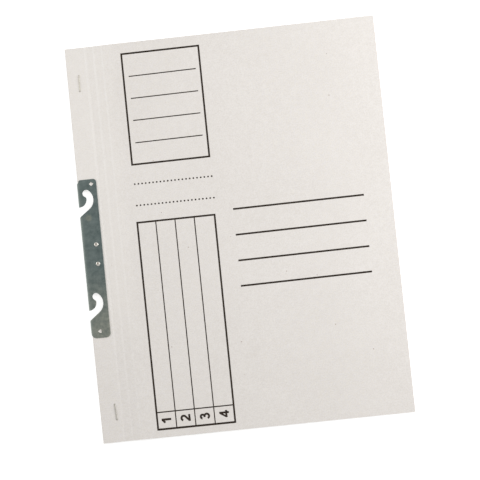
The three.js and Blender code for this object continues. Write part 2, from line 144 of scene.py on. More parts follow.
def face_outwards():
    """Turns every face outwards and leaves edit mode"""
    select_points()
    bpy.ops.mesh.normals_make_consistent(inside=False)
    set_mode("OBJECT")


def drawn_solid(name, plane, moves, low, high):
    """Draws a closed outline from one vertex, by extruding straight on and spinning
    round a middle, fills it and extrudes it from low to high"""
    here = in_frame(plane, *moves[0], low)
    piece = one_vertex(name, here)
    axis = {"XZ": (0, 1, 0), "YZ": (-1, 0, 0), "XY": (0, 0, -1)}[plane]
    for move in moves[1:]:
        if len(move) == 2:
            there = in_frame(plane, *move, low)
            if (there - here).length > 0.0001 * MM:
                extrude_by(there - here)
                here = there
        else:
            a, b, turn, steps = move
            middle = in_frame(plane, a, b, low)
            bpy.ops.mesh.spin(steps=steps, angle=math.radians(turn), center=middle, axis=axis)
            spun = Matrix.Rotation(-math.radians(turn), 4, axis)
            here = middle + spun @ (here - middle)
    weld()
    bpy.ops.mesh.edge_face_add()
    extrude_by(in_frame(plane, 0, 0, high) - in_frame(plane, 0, 0, low))
    face_outwards()
    return piece


def cut(piece, cutter, how="DIFFERENCE"):
    """Cuts one solid by another, which is used up"""
    apply_modifier(
        piece, "BOOLEAN", operation=how, solver="EXACT", material_mode="TRANSFER", object=cutter
    )
    bpy.data.objects.remove(cutter)


def round_edges(piece, width, wanted):
    """Rounds the wanted edges; wanted gets the two ends of an edge in mm"""
    pick_edges(piece, wanted)
    bpy.ops.mesh.bevel(offset=width * MM, segments=2, clamp_overlap=False)
    set_mode("OBJECT")


def divide_length(piece, rows):
    """More points along the sheet, so that it can lie in a curve"""
    pick_edges(piece, lambda a, b: abs(a.y - b.y) > COVER_HEIGHT - 1)
    bpy.ops.mesh.subdivide(number_cuts=rows)
    set_mode("OBJECT")


def finish_mesh(piece, angle=32):
    """Smooth curves and small roundings, with the broad faces left truly flat"""
    make_active(piece)
    bpy.ops.object.shade_smooth_by_angle(angle=math.radians(angle))
    apply_modifier(piece, "WEIGHTED_NORMAL", keep_sharp=True, weight=80)


def sheet_top(x):
    """Upper face of the front margin and front cover, without the grooves"""
    if x <= CREASES[0]:
        return MARGIN_TOP
    if x <= CREASES[2]:
        return MARGIN_TOP + (CREST - MARGIN_TOP) * (x - CREASES[0]) / (CREASES[2] - CREASES[0])
    return CREST + (FREE_EDGE_TOP - CREST) * (x - CREASES[2]) / (COVER_WIDTH - CREASES[2])


def groove(x, depth):
    off = min(abs(x - crease) for crease in CREASES) / GROOVE_REACH
    return depth * math.cos(off * math.pi / 2) ** 2 if off < 1 else 0


def stations(start, end, stride):
    """Places across a sheet, close together at the creases"""
    places = {start, end}
    for crease in CREASES:
        for step in range(-7, 8):
            places.add(round(crease + step * GROOVE_REACH / 6, 4))
    count = max(1, round((end - start) / stride))
    places.update(start + (end - start) * i / count for i in range(count + 1))
    kept = []
    for place in sorted(p for p in places if start <= p <= end):
        if not kept or place - kept[-1] > 0.1 or place == end:
            kept.append(place)
    return kept


# The hook slots and rivets pass the board, the binding strip and the plate,
# the staples only the board and the strip.
SLOT_MIDDLES = (39.8, -40.2)
SLOT_RELIEF = 0.25  # the board is cut back this far behind the steel, mm
LOBE_X, LOBE_RADIUS, LOBE_TURN = 5.5, 2.85, 215
OUTER_RADIUS, OUTER_TURN = 9.15, 52.7
MOUTH_X, MOUTH_SLOPE = -0.5, 38
HOOK_X, HOOK_DROP, HOOK_RADIUS, HOOK_TURN = -0.9, 4.35, 6.15, 9
CLEAR_X = -4  # outside the spine, mm
RIVET_X = 9.7
RIVET_YS = (-0.3, -15.3)
RIVET_HOLE = 1.2
STAPLES = ((8.95, 124.95, -1.5), (11.9, -129.7, 3.1))
STAPLE_HALF = 6.2
LEG_HOLE, LEG_INSET = 0.85, 0.25
TEARS, TEAR_INSET = ((1, 0.8), (-1, 1.15)), 0.15


def hook_slot(name, lobe_y, relief):
    """Cutter for one hook slot: round end, outer arc, sloping mouth and the
    pointed hook between them"""
    outer, hook = OUTER_RADIUS + relief, HOOK_RADIUS - relief
    turn = math.radians(OUTER_TURN)
    outer_x = LOBE_X - (OUTER_RADIUS - LOBE_RADIUS) * math.cos(turn)
    outer_y = lobe_y - (OUTER_RADIUS - LOBE_RADIUS) * math.sin(turn)
    slope = math.radians(MOUTH_SLOPE)
    start_x = outer_x + outer * math.sin(slope)
    start_y = outer_y - outer * math.cos(slope)
    mouth_y = start_y - (start_x - MOUTH_X) * math.tan(slope)
    hook_y = lobe_y - HOOK_DROP
    neck = math.radians(HOOK_TURN)
    moves = [
        (CLEAR_X, hook_y - hook),
        (CLEAR_X, mouth_y),
        (MOUTH_X, mouth_y),
        (start_x, start_y),
        (outer_x, outer_y, OUTER_TURN + 90 - MOUTH_SLOPE, 30),
        (LOBE_X, lobe_y, LOBE_TURN - OUTER_TURN, 28),
        (HOOK_X + hook * math.cos(neck), hook_y + hook * math.sin(neck)),
        (HOOK_X, hook_y, -90 - HOOK_TURN, 28),
    ]
    return drawn_solid(name, "XY", moves, -3, 6)


def round_cutter(x, y, radius, low, high, sides=40):
    alone()
    middle = Vector((SPINE_X + x, y, (low + high) / 2)) * MM
    bpy.ops.mesh.primitive_cylinder_add(
        vertices=sides, radius=radius * MM, depth=(high - low) * MM, location=middle
    )
    bpy.ops.object.transform_apply(location=True, rotation=True, scale=True)
    return bpy.context.object


def box_cutter(x, y, width, length, low, high, turn=0):
    alone()
    middle = Vector((SPINE_X + x, y, (low + high) / 2)) * MM
    bpy.ops.mesh.primitive_cube_add(size=1, location=middle, rotation=(0, 0, math.radians(turn)))
    cutter = bpy.context.object
    cutter.scale = (width * MM, length * MM, (high - low) * MM)
    bpy.ops.object.transform_apply(location=True, rotation=True, scale=True)
    return cutter


def on_staple(x, y, turn, along):
    """A place along a staple, which is set at a slight turn, mm"""
    turn = math.radians(turn)
    return x - along * math.sin(turn), y + along * math.cos(turn)


def give_finish(piece, *finishes):
    """The piece's materials, in the order of its slots"""
    piece.data.materials.clear()
    for finish in finishes:
        piece.data.materials.append(finish)


def cut_margin(piece, cut_finish):
    """The cuts that both layers of the margin share"""
    cutters = [hook_slot("slot", y, SLOT_RELIEF) for y in SLOT_MIDDLES]
    cutters += [round_cutter(RIVET_X, y, RIVET_HOLE, -1, 4) for y in RIVET_YS]
    for x, y, turn in STAPLES:
        for side in (1, -1):
            leg = on_staple(x, y, turn, side * (STAPLE_HALF - LEG_INSET))
            cutters.append(box_cutter(*leg, LEG_HOLE, LEG_HOLE, -1, 4, turn))
    for cutter in cutters:
        give_finish(cutter, cut_finish)
        cut(piece, cutter)


def pierce_staple_ends(piece, cut_finish, low):
    """Below each crown's end the wire has torn the board a little way open"""
    for x, y, turn in STAPLES:
        for side, size in TEARS:
            tear = on_staple(x, y, turn, side * (STAPLE_HALF - TEAR_INSET))
            cutter = round_cutter(*tear, size / 2, low, 4, 20)
            give_finish(cutter, cut_finish)
            cut(piece, cutter)


def new_material(name):
    material = bpy.data.materials.new(name)
    material.use_nodes = True
    return material, material.node_tree, material.node_tree.nodes["Principled BSDF"]


def add_node(tree, kind, **settings):
    """A shader node with its settings; names starting with in_ set or link its inputs"""
    made = tree.nodes.new("ShaderNode" + kind)
    for name, value in settings.items():
        if not name.startswith("in_"):
            setattr(made, name, value)
    for name, value in settings.items():
        if name.startswith("in_"):
            key = name.removeprefix("in_").replace("_", " ")
            socket = made.inputs[int(key)] if key.isdigit() else made.inputs[key]
            if isinstance(value, bpy.types.NodeSocket):
                tree.links.new(value, socket)
            else:
                socket.default_value = value
    return made


def math_node(tree, operation, a, b=0.0):
    return add_node(tree, "Math", operation=operation, in_0=a, in_1=b).outputs[0]


def times(tree, a, b):
    return math_node(tree, "MULTIPLY", a, b)


def plus(tree, a, b):
    return math_node(tree, "ADD", a, b)


def mixed(tree, factor, a, b, blend="MIX"):
    """Colour a turned towards colour b by a varying factor"""
    return add_node(
        tree, "Mix", data_type="RGBA", blend_type=blend, in_0=factor, in_6=a, in_7=b
    ).outputs[2]


def spread(tree, value, low, high, to_low=0.0, to_high=1.0):
    """A value between low and high spread to a new range"""
    return add_node(
        tree, "MapRange", in_0=value, in_1=low, in_2=high, in_3=to_low, in_4=to_high
    ).outputs[0]


def noise(tree, place, scale, detail, roughness):
    return add_node(
        tree, "TexNoise", in_Vector=place, in_Scale=scale, in_Detail=detail, in_Roughness=roughness
    ).outputs


def stretched(tree, place, turn, scale):
    """A place turned round the upright and stretched, for a pattern with a lie"""
    return add_node(
        tree, "Mapping", in_Vector=place, in_Rotation=(0, 0, turn), in_Scale=scale
    ).outputs[0]


def object_place(tree):
    return add_node(tree, "TexCoord").outputs["Object"]


def add_bump(tree, shader, height, strength, depth):
    """Relief of a given depth in mm"""
    bumped = add_node(tree, "Bump", in_Strength=strength, in_Distance=depth * MM, in_Height=height)
    tree.links.new(bumped.outputs[0], shader.inputs["Normal"])


def make_group(name, inputs, outputs):
    group = bpy.data.node_groups.new(name, "ShaderNodeTree")
    for label, kind, default in inputs:
        socket = group.interface.new_socket(label, in_out="INPUT", socket_type=kind)
        if default is not None:
            socket.default_value = default
    for label in outputs:
        group.interface.new_socket(label, in_out="OUTPUT", socket_type="NodeSocketFloat")
    given = group.nodes.new("NodeGroupInput").outputs
    put = group.nodes.new("NodeGroupOutput").inputs
    return group, given, put


def make_board_fibre():
    """Pressed pulp: soft clouds, short fibres lying all ways and a few dark specks"""
    group, given, put = make_group(
        "board_fibre",
        [("Place", "NodeSocketVector", None), ("Speck Share", "NodeSocketFloat", 0.5)],
        ["Cloud", "Tint", "Fibre", "Speck", "Relief"],
    )
    place = given["Place"]
    cloud = noise(group, place, 260, 2, 0.55)
    flock = noise(group, place, 1150, 2, 0.6)
    drift = noise(group, place, 14, 2, 0.5)
    both = plus(group, times(group, cloud[0], 0.22), times(group, flock[0], 0.63))
    both = plus(group, both, times(group, drift[0], 0.15))
    group.links.new(spread(group, both, 0.36, 0.64), put["Cloud"])
    tint = add_node(group, "SeparateColor", in_0=flock["Color"]).outputs[1]
    group.links.new(spread(group, tint, 0.3, 0.7), put["Tint"])
    fibre = 0.0
    for turn, stretch in ((0.5, 5), (2.0, 4), (1.2, 6)):
        laid = stretched(group, place, turn, (1, stretch, 1))
        fibre = math_node(group, "MAXIMUM", fibre, noise(group, laid, 750, 2, 0.6)[0])
    fibre = spread(group, fibre, 0.48, 0.72)
    group.links.new(fibre, put["Fibre"])
    cells = add_node(
        group, "TexVoronoi", feature="F1", in_Vector=place, in_Scale=150, in_Randomness=1.0
    ).outputs
    near = spread(group, cells["Distance"], 0.05, 0.09, 1.0, 0.0)
    picked = add_node(group, "SeparateColor", in_0=cells["Color"]).outputs[0]
    chosen = math_node(group, "LESS_THAN", picked, times(group, given["Speck Share"], 0.12))
    group.links.new(times(group, near, chosen), put["Speck"])
    relief = plus(group, times(group, fibre, 0.55), times(group, cloud[0], 0.9))
    group.links.new(relief, put["Relief"])
    return group


board_fibre = make_board_fibre()
COOL_TINT, WARM_TINT = (0.993, 1, 1.03, 1), (1.005, 1, 0.965, 1)
# A painted highlight lies beside each crease, on the side of its groove that faces the lamp, a little
# aslant, and fades downwards.
CREASE_HIGHLIGHT_TONE = (0.97, 0.95, 0.93, 1)
CREASE_HIGHLIGHT_SIDE, HIGHLIGHT_SLANT = 1.15, 0.0031
HIGHLIGHT_FULL, HIGHLIGHT_NONE = 0.2, 1.05
HIGHLIGHT_LOW, HIGHLIGHT_HIGH = -130, 110
# The margin is painted paler, as painted light where it lies more brightly lit, to past the creases
# and down past its middle.
PAINTED_PALE_TONE, PAINTED_PALE_SHARE = (0.98, 0.945, 0.895, 1), 0.24
PAINTED_PALE_FULL, PAINTED_PALE_NONE = 26, 40
PAINTED_PALE_LOW, PAINTED_PALE_HIGH = -85, -45


def board_material(name, pale, dark, speck, share, bump, bends, painted_light_strength=0.0):
    """Paper board finish; a sheet that bends reads its own rest place, and with the
    last argument above 0 the margin is painted paler and a painted highlight
    runs along the lit side of each pressed crease"""
    material, tree, shader = new_material(name)
    if bends:
        place = add_node(tree, "Attribute", attribute_name="rest_place").outputs["Vector"]
    else:
        place = object_place(tree)
    fibre = add_node(
        tree, "Group", node_tree=board_fibre, in_Place=place, in_Speck_Share=share
    ).outputs
    tinted = mixed(tree, fibre["Tint"], COOL_TINT, WARM_TINT)
    tone = mixed(tree, 1.0, mixed(tree, fibre["Cloud"], dark, pale), tinted, "MULTIPLY")
    lit = [min(c * 1.05, 1) for c in pale[:3]] + [1]
    tone = mixed(tree, times(tree, fibre["Fibre"], 0.3), tone, lit)
    colour = mixed(tree, times(tree, fibre["Speck"], 0.6), tone, speck)
    if painted_light_strength:
        parts = add_node(tree, "SeparateXYZ", in_0=place).outputs
        across = plus(tree, parts[0], times(tree, parts[1], HIGHLIGHT_SLANT))
        # Painted light: the margin's upper part is made paler, as if more brightly lit
        edges = [(SPINE_X + x) * MM for x in (PAINTED_PALE_FULL, PAINTED_PALE_NONE)]
        painted_pale = spread(tree, across, *edges, PAINTED_PALE_SHARE, 0)
        upper = spread(tree, parts[1], PAINTED_PALE_LOW * MM, PAINTED_PALE_HIGH * MM)
        colour = mixed(tree, times(tree, painted_pale, upper), colour, PAINTED_PALE_TONE)
        # Painted highlight: a pale line beside each crease on its lit side, standing in for light on
        # the groove's wall, weaker towards the bottom
        painted_highlight = 0.0
        for crease in CREASES:
            off = math_node(tree, "SUBTRACT", across, (SPINE_X + crease - CREASE_HIGHLIGHT_SIDE) * MM)
            off = math_node(tree, "ABSOLUTE", off)
            line = spread(tree, off, HIGHLIGHT_FULL * MM, HIGHLIGHT_NONE * MM, 1, 0)
            painted_highlight = plus(tree, painted_highlight, line)
        fade = spread(tree, parts[1], HIGHLIGHT_LOW * MM, HIGHLIGHT_HIGH * MM, 0.4 * painted_light_strength, painted_light_strength)
        painted_highlight = times(tree, times(tree, painted_highlight, fade), spread(tree, fibre["Cloud"], 0, 1, 0.7, 1))
        colour = mixed(tree, painted_highlight, colour, CREASE_HIGHLIGHT_TONE)
    tree.links.new(colour, shader.inputs["Base Color"])
    tree.links.new(spread(tree, fibre["Fibre"], 0, 1, 0.9, 0.78), shader.inputs["Roughness"])
    shader.inputs["Specular IOR Level"].default_value = 0.28
    add_bump(tree, shader, fibre["Relief"], bump, 0.03)
    return material


# Tones of a board: pale and dark pulp, then its specks.
FACE_TONES = ((0.855, 0.822, 0.793, 1), (0.755, 0.717, 0.681, 1), (0.36, 0.27, 0.2, 1))
cover_face = board_material("cover_board_face", *FACE_TONES, 0.5, bump=0.3, bends=True, painted_light_strength=0.3)
back_face = board_material("cover_board_back", *FACE_TONES, share=0.5, bump=0.3, bends=True)
CUT_TONES = ((0.72, 0.67, 0.61, 1), (0.56, 0.51, 0.45, 1), (0.3, 0.24, 0.19, 1))
cover_cut = board_material("cover_board_cut", *CUT_TONES, share=1.0, bump=0.9, bends=True)


def dress_board(piece, face, cut_edge, cut_places):
    """Faces of the sheet, and its cut edges on a second slot"""
    give_finish(piece, face, cut_edge)
    for polygon in piece.data.polygons:
        x = polygon.center.x / MM - SPINE_X
        at_place = any(abs(x - place) < 0.2 for place in cut_places)
        is_cut = abs(polygon.normal.y) > 0.8 or (abs(polygon.normal.x) > 0.8 and at_place)
        polygon.material_index = 1 if is_cut else 0


def keep_rest_place(piece):
    """Each point remembers where it lies at rest, so the fibre bends with it"""
    mesh = piece.data
    places = mesh.attributes.new("rest_place", "FLOAT_VECTOR", "POINT")
    for vertex, place in zip(mesh.vertices, places.data):
        place.vector = vertex.co


def sheet_outline(start, end, stride):
    """Section of a stretch of the front cover: top from right to left, then bottom"""
    across = stations(start, end, stride)
    top = [(x, sheet_top(x) - groove(x, GROOVE_DEPTH)) for x in across]
    bottom = [(x, sheet_top(x) - BOARD - groove(x, 0.8 * GROOVE_DEPTH)) for x in across]
    return bottom + top[::-1]


half = COVER_HEIGHT / 2
MARGIN_UNDER = 1.38  # just below the front margin, mm
mid_1 = (CREASES[0] + CREASES[1]) / 2
mid_2 = (CREASES[1] + CREASES[2]) / 2
fold_outer = (MARGIN_TOP - MARGIN_LOW) / 2
fold_z = (MARGIN_TOP + MARGIN_LOW) / 2

front_part = sheet_outline(fold_outer, mid_1, 40)
split = len(front_part) // 2
inside_front, outside_front = front_part[:split], front_part[split:]
spine_moves = [(BACK_SEAM, MARGIN_LOW + BOARD), (fold_outer, MARGIN_LOW + BOARD)]
spine_moves += [(fold_outer, fold_z, -180, 12)]
spine_moves += inside_front[1:] + outside_front
spine_moves += [(fold_outer, fold_z, 180, 16), (BACK_SEAM, MARGIN_LOW)]
spine_board = drawn_solid("spine_board", "XZ", spine_moves, -half, half)
divide_length(spine_board, 12)
dress_board(spine_board, cover_face, cover_cut, ())
cut_margin(spine_board, cover_cut)
pierce_staple_ends(spine_board, cover_cut, MARGIN_UNDER)

crease_board = drawn_solid("crease_board", "XZ", sheet_outline(mid_1, mid_2, 2), -half, half)
dress_board(crease_board, cover_face, cover_cut, ())

front_board = drawn_solid("front_board", "XZ", sheet_outline(mid_2, COVER_WIDTH, 7), -half, half)
back_moves = [
    (BACK_SEAM, MARGIN_LOW),
    (CREASES[0] - 0.6, MARGIN_LOW),
    (CREASES[0] + 0.6, 0.45),
    (BACK_FOOT - 1.5, 0.06),
    (BACK_FOOT + 1.5, 0),
    (COVER_WIDTH, 0),
    (COVER_WIDTH, BOARD),
    (BACK_FOOT + 1.5, BOARD),
    (BACK_FOOT - 1.5, BOARD + 0.06),
    (CREASES[0] + 0.6, BOARD + 0.45),
    (CREASES[0] - 0.6, MARGIN_LOW + BOARD),
    (BACK_SEAM, MARGIN_LOW + BOARD),
]
back_board = drawn_solid("back_board", "XZ", back_moves, -half, half)
dress_board(back_board, back_face, cover_cut, (COVER_WIDTH,))

# The wide panel is never dead flat: it is divided along the spine too, and
# lies in very low waves that die out towards the creases.
STILL_TO, WAVES_FROM = 44, 104  # the waves grow between these places, mm
divide_length(front_board, 40)
free_sheet = front_board.vertex_groups.new(name="free_sheet")
for vertex in front_board.data.vertices:
    out = (vertex.co.x / MM - SPINE_X - STILL_TO) / (WAVES_FROM - STILL_TO)
    free_sheet.add([vertex.index], min(max(out, 0), 1), "REPLACE")
wave_texture = bpy.data.textures.new("board_wave", "CLOUDS")
wave_texture.noise_scale = 85 * MM
wave_texture.noise_depth = 0
apply_modifier(
    front_board,
    "DISPLACE",
    texture=wave_texture,
    texture_coords="LOCAL",
    direction="Z",
    strength=0.5 * MM,
    mid_level=0.4,
    vertex_group="free_sheet",
)
dress_board(front_board, cover_face, cover_cut, (COVER_WIDTH,))

# The real sheet is a little out of true: its upper edge runs out towards the
# free side, its lower edge towards the spine, and its fold is bowed outwards.
END_ROW = 7  # only the last row of points along the sheet is moved, mm
UPPER_RISE, UPPER_START, UPPER_SLOPE = 0.15, 60, 0.0052
LOWER_DROP, LOWER_LEAST, LOWER_SLOPE = 0.55, 0.05, 0.0115
FOLD_BOW, BOW_MIDDLE = 0.38, -40
BOW_FULL, BOW_NONE = 0.6, 3.2  # the bow dies out between these places, mm


def fold_bow(x, y):
    """How far the fold is pushed out here, mm"""
    reach = half - BOW_MIDDLE if y > BOW_MIDDLE else half + BOW_MIDDLE
    along = 1 - ((y - BOW_MIDDLE) / reach) ** 2
    across = min(max((BOW_NONE - x) / (BOW_NONE - BOW_FULL), 0), 1)
    return FOLD_BOW * along * across


def lay_out_of_true(board):
    for vertex in board.data.vertices:
        x, y = vertex.co.x / MM - SPINE_X, vertex.co.y / MM
        rise = UPPER_RISE + UPPER_SLOPE * max(x - UPPER_START, 0)
        drop = max(LOWER_DROP - LOWER_SLOPE * x, LOWER_LEAST)
        rise *= max(y - half + END_ROW, 0) / END_ROW
        drop *= max(-y - half + END_ROW, 0) / END_ROW
        vertex.co += Vector((-fold_bow(x, y), rise - drop, 0)) * MM


def across_sheet_end(a, b):
    """An edge that runs across the upper or lower end of the sheet"""
    at_end = abs(a.y - b.y) < 0.01 and abs(abs(a.y) - half) < 0.01
    return at_end and abs(a.z - b.z) < abs(a.x - b.x)


for board in (spine_board, crease_board, front_board, back_board):
    round_edges(board, 0.07, across_sheet_end)
    lay_out_of_true(board)
    finish_mesh(board)
    keep_rest_place(board)

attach(back_board, "folder_back")

# Binding strip
# A strip of brown-grey board that the rivets and staples hold in the margin.
# It lies between the two covers and carries the fastener, whose tongues come up
# through its slits.
STRIP_LEFT, STRIP_WIDTH = 0.78, 48
STRIP_HALF = 148.5
STRIP_CORNER = 5
STRIP_MARGIN_LOW, STRIP_MARGIN_TOP = 0.95, 1.38
BASE_TOP = 0.7
STRIP_TOP = BASE_TOP + BOARD
STRIP_TONES = ((0.66, 0.59, 0.48, 1), (0.53, 0.46, 0.36, 1), (0.2, 0.15, 0.1, 1))
STRIP_CUT_TONES = ((0.5, 0.43, 0.34, 1), (0.38, 0.32, 0.24, 1), (0.2, 0.15, 0.1, 1))
strip_face = board_material("binding_strip_face", *STRIP_TONES, 2.2, bump=0.8, bends=False)
strip_cut = board_material("binding_strip_cut", *STRIP_CUT_TONES, 2.0, bump=0.9, bends=False)
strip_moves = [
    (STRIP_LEFT, STRIP_MARGIN_LOW),
    (CREASES[0] - 0.5, STRIP_MARGIN_LOW),
    (CREASES[0] + 0.5, STRIP_MARGIN_LOW - 0.015),
    (BACK_FOOT - 0.8, BASE_TOP + 0.012),
    (BACK_FOOT + 0.8, BASE_TOP),
    (STRIP_WIDTH, BASE_TOP),
    (STRIP_WIDTH, STRIP_TOP),
    (BACK_FOOT + 0.8, STRIP_TOP),
    (BACK_FOOT - 0.8, STRIP_TOP + 0.012),
    (CREASES[0] + 0.5, STRIP_MARGIN_TOP - 0.02),
    (CREASES[0] - 0.5, STRIP_MARGIN_TOP),
    (STRIP_LEFT, STRIP_MARGIN_TOP),
]
binding_strip = drawn_solid("binding_strip_board", "XZ", strip_moves, -STRIP_HALF, STRIP_HALF)
dress_board(binding_strip, strip_face, strip_cut, (STRIP_WIDTH,))


def rounded_plan(name, left, right, low, high, left_corner, right_corner, bottom, top, steps=10):
    """A block with rounded upright corners"""
    moves = [
        (left + left_corner, low),
        (right - right_corner, low),
        (right - right_corner, low + right_corner, 90, steps),
        (right, high - right_corner),
        (right - right_corner, high - right_corner, 90, steps),
        (left + left_corner, high),
        (left + left_corner, high - left_corner, 90, steps),
        (left, low + left_corner),
        (left + left_corner, low + left_corner, 90, steps),
    ]
    return drawn_solid(name, "XY", moves, bottom, top)


strip_plan = rounded_plan(
    "plan", 0.5, STRIP_WIDTH, -STRIP_HALF, STRIP_HALF, 0.4, STRIP_CORNER, -1, 4, 12
)
give_finish(strip_plan, strip_cut)
cut(binding_strip, strip_plan, "INTERSECT")
cut_margin(binding_strip, strip_cut)
pierce_staple_ends(binding_strip, strip_cut, STRIP_MARGIN_LOW + 0.02)
HOLE_LINE = 36
TONGUE_SPACING = 80
BASE_STEEL = 0.25
SLIT_WIDTH, SLIT_LENGTH = 6.6, 0.85
for side in (1, -1):
    slit_y = side * (TONGUE_SPACING - BASE_STEEL) / 2
    slit = box_cutter(HOLE_LINE, slit_y, SLIT_WIDTH, SLIT_LENGTH, 0, 3)
    give_finish(slit, strip_cut)
    cut(binding_strip, slit)
finish_mesh(binding_strip, 20)
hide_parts("binding_strip")
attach(binding_strip, "folder_back")

# Hook plate
# One strip of dark coated steel, 0.5 mm thick, folded round the spine over both
# margins. Both flanges are stamped with the hook slots, open at the fold; the
# front flange also has two punched holes and the seats of the rivets.
PLATE_STEEL = 0.5
PLATE_LOW, PLATE_HIGH = -72.15, 50.35
PLATE_LEFT, PLATE_RIGHT = -0.5, 14.2
PLATE_TOP = 2.35
plate_fold = PLATE_TOP / 2
plate_moves = [
    (PLATE_RIGHT, 0),
    (PLATE_RIGHT, PLATE_STEEL),
    (PLATE_LEFT + plate_fold, PLATE_STEEL),
    (PLATE_LEFT + plate_fold, plate_fold, -180, 14),
    (PLATE_RIGHT, MARGIN_TOP),
    (PLATE_RIGHT, PLATE_TOP),
    (PLATE_LEFT + plate_fold, PLATE_TOP),
    (PLATE_LEFT + plate_fold, plate_fold, 180, 18),
]
hook_plate = drawn_solid("hook_plate_steel", "XZ", plate_moves, PLATE_LOW, PLATE_HIGH)
NOTCH_X, NOTCH_LOW = PLATE_LEFT + 1.4, PLATE_HIGH - 3
LOW_CORNER, HIGH_CORNER, NOTCH_CORNER, FOLD_CORNER = 3.2, 2.5, 1.5, 4.2
plan_moves = [
    (PLATE_LEFT + FOLD_CORNER, PLATE_LOW),
    (PLATE_RIGHT - LOW_CORNER, PLATE_LOW),
    (PLATE_RIGHT - LOW_CORNER, PLATE_LOW + LOW_CORNER, 90, 14),
    (PLATE_RIGHT, PLATE_HIGH - HIGH_CORNER),
    (PLATE_RIGHT - HIGH_CORNER, PLATE_HIGH - HIGH_CORNER, 90, 12),
    (NOTCH_X + NOTCH_CORNER, PLATE_HIGH),
    (NOTCH_X + NOTCH_CORNER, PLATE_HIGH - NOTCH_CORNER, 90, 10),
    (NOTCH_X, NOTCH_LOW + 1.2),
    (PLATE_LEFT, NOTCH_LOW),
    (PLATE_LEFT, PLATE_LOW + FOLD_CORNER),
    (PLATE_LEFT + FOLD_CORNER, PLATE_LOW + FOLD_CORNER, 90, 16),
]
cut(hook_plate, drawn_solid("plan", "XY", plan_moves, -1, 4), "INTERSECT")
for middle in SLOT_MIDDLES:
    cut(hook_plate, hook_slot("slot", middle, 0))
SQUARE_X, SQUARE_Y, SQUARE_SIDE = PLATE_LEFT + 10.75, PLATE_HIGH - 3.8, 2.4
cut(hook_plate, box_cutter(SQUARE_X, SQUARE_Y, SQUARE_SIDE, SQUARE_SIDE, plate_fold, 4, 45))
DART_X, DART_Y = PLATE_LEFT + 5.15, PLATE_LOW + 5.2
DART_SHOULDER, DART_LENGTH, DART_HALF = 1.8, 2.8, 1.4
dart_moves = [
    (DART_X, DART_Y),
    (DART_X + DART_SHOULDER, DART_Y - DART_HALF),
    (DART_X + DART_LENGTH, DART_Y - DART_HALF),
    (DART_X + DART_LENGTH, DART_Y + DART_HALF),
    (DART_X + DART_SHOULDER, DART_Y + DART_HALF),
]
cut(hook_plate, drawn_solid("dart", "XY", dart_moves, plate_fold, 4))
REAR_HOLE = 2.15
for y in RIVET_YS:
    cut(hook_plate, round_cutter(RIVET_X, y, RIVET_HOLE, plate_fold, 4))
    cut(hook_plate, round_cutter(RIVET_X, y, REAR_HOLE, -1, plate_fold))
TOP_EDGE = PLATE_TOP - 0.001


def on_front_rim(a, b):
    """An edge round the upper face of the front flange, but not along the fold"""
    off_fold = min(a.x, b.x) > SPINE_X + PLATE_LEFT + plate_fold + 0.05
    return off_fold and min(a.z, b.z) > TOP_EDGE and (a - b).length > 0.02


round_edges(hook_plate, 0.1, on_front_rim)
ASKEW, ASKEW_MIDDLE = 0.0037, 17  # the plate is set on a hair askew
for vertex in hook_plate.data.vertices:
    x, y = vertex.co.x / MM - SPINE_X, vertex.co.y / MM
    share = min(max((x - 1) / 5, 0), 1)
    vertex.co.x += (ASKEW * (y - ASKEW_MIDDLE) * share - fold_bow(x, y)) * MM
finish_mesh(hook_plate, 28)


def make_metal_grain():
    """Rolled and coated sheet metal: fine grain one way, soft blotches, pits"""
    group, given, put = make_group(
        "metal_grain",
        [("Place", "NodeSocketVector", None), ("Blotch Size", "NodeSocketFloat", 1.0)],
        ["Grain", "Blotch", "Pit"],
    )
    place = given["Place"]
    grain = noise(group, stretched(group, place, 0, (1, 0.06, 1)), 3800, 2, 0.6)
    group.links.new(spread(group, grain[0], 0.3, 0.7), put["Grain"])
    size = math_node(group, "DIVIDE", 420.0, given["Blotch Size"])
    blotch = noise(group, place, size, 4, 0.65)
    group.links.new(spread(group, blotch[0], 0.33, 0.67), put["Blotch"])
    pits = add_node(group, "TexVoronoi", feature="F1", in_Vector=place, in_Scale=700)
    group.links.new(spread(group, pits.outputs["Distance"], 0.1, 0.22, 1.0, 0.0), put["Pit"])
    return group


metal_grain = make_metal_grain()


def add_grain(tree, place, size):
    return add_node(tree, "Group", node_tree=metal_grain, in_Place=place, in_Blotch_Size=size).outputs


